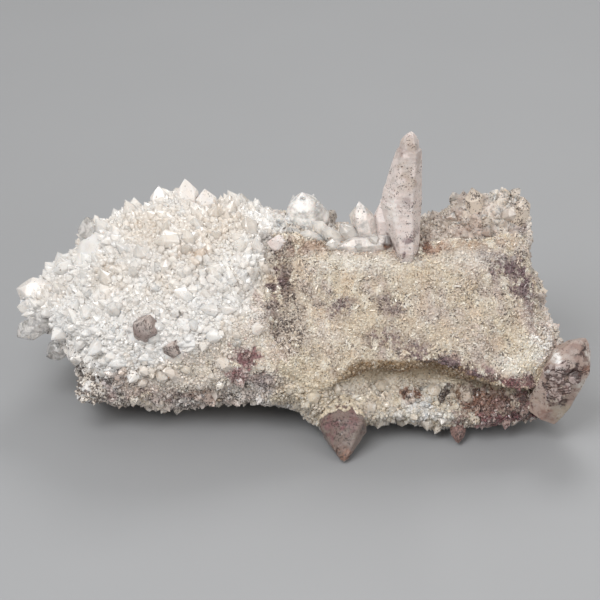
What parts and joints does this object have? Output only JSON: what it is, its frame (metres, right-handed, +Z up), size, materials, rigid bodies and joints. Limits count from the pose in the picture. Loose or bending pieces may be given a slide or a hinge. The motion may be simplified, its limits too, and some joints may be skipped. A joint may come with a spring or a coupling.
{
  "type": "quartz cluster",
  "caption": "intergrown milky quartz cluster with a drusy plate over a hollowed ledge, glassy crystal crusts and a tall frosted point, resting on a flat broken base",
  "frame": {"origin": "on the flat broken base, under the middle of the cluster", "axes": "+X along the cluster, away from its clear glassy end; -Y is the front, with the drusy plate; +Z is up"},
  "size_m": [0.2785, 0.1383, 0.1394],
  "materials": {
    "quartz_cluster": "satin"
  },
  "bodies": {
    "root": {"quartz_cluster": "quartz_cluster"}
  },
  "joints": []
}
